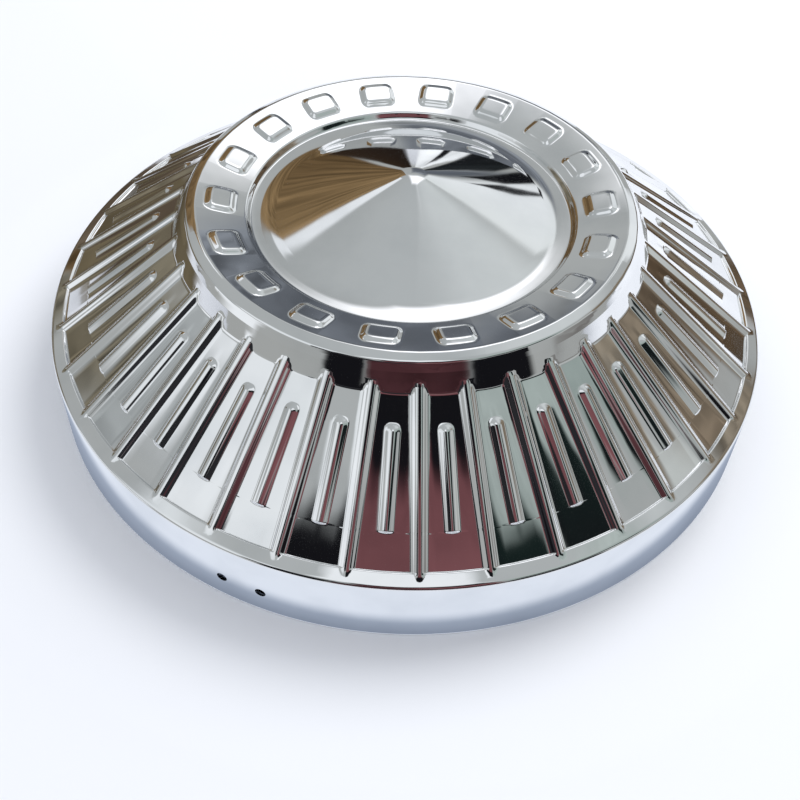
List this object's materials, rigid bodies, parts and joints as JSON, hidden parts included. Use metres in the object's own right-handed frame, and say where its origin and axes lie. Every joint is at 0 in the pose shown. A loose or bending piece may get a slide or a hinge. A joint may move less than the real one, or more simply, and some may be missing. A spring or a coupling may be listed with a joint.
{
  "type": "dog dish hubcap",
  "caption": "Small chrome wheel cap pressed from one sheet: vertical skirt, ribbed conical flange, dished ring and pointed centre cone, with a snap lip inside the rim.",
  "frame": {"origin": "centre of the flat return of the rim, on the wheel's axis", "axes": "+Z along the wheel's axis, out of the face; +X through the crest of one rib"},
  "size_m": [0.2666, 0.2666, 0.0828],
  "materials": {
    "chrome_plate": "bright chrome plate on polished pressed steel"
  },
  "bodies": {
    "root": {"hubcap_shell": "chrome_plate"}
  },
  "joints": []
}
